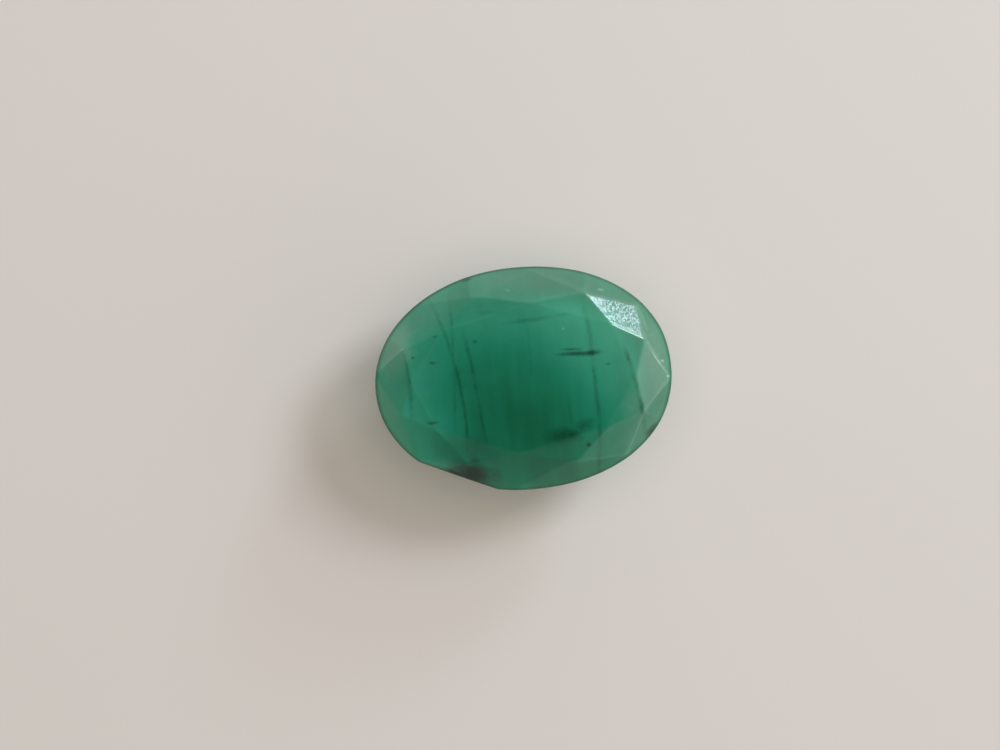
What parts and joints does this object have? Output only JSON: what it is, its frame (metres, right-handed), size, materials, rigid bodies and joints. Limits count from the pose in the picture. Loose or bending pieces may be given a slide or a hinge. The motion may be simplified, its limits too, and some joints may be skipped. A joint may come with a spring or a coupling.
{
  "type": "oval cut emerald gemstone",
  "caption": "Cut and polished oval emerald with a brilliant crown over a stepped back, for setting in jewellery or for display.",
  "frame": {"origin": "middle of the culet, the small flat at the back that the stone rests on", "axes": "+Z out of the table, +X along the stone's length, +Y across it"},
  "size_m": [0.012, 0.009, 0.0053],
  "materials": {
    "emerald": "glossy polish on milky translucent green beryl"
  },
  "bodies": {
    "root": {"emerald": "emerald"}
  },
  "joints": []
}
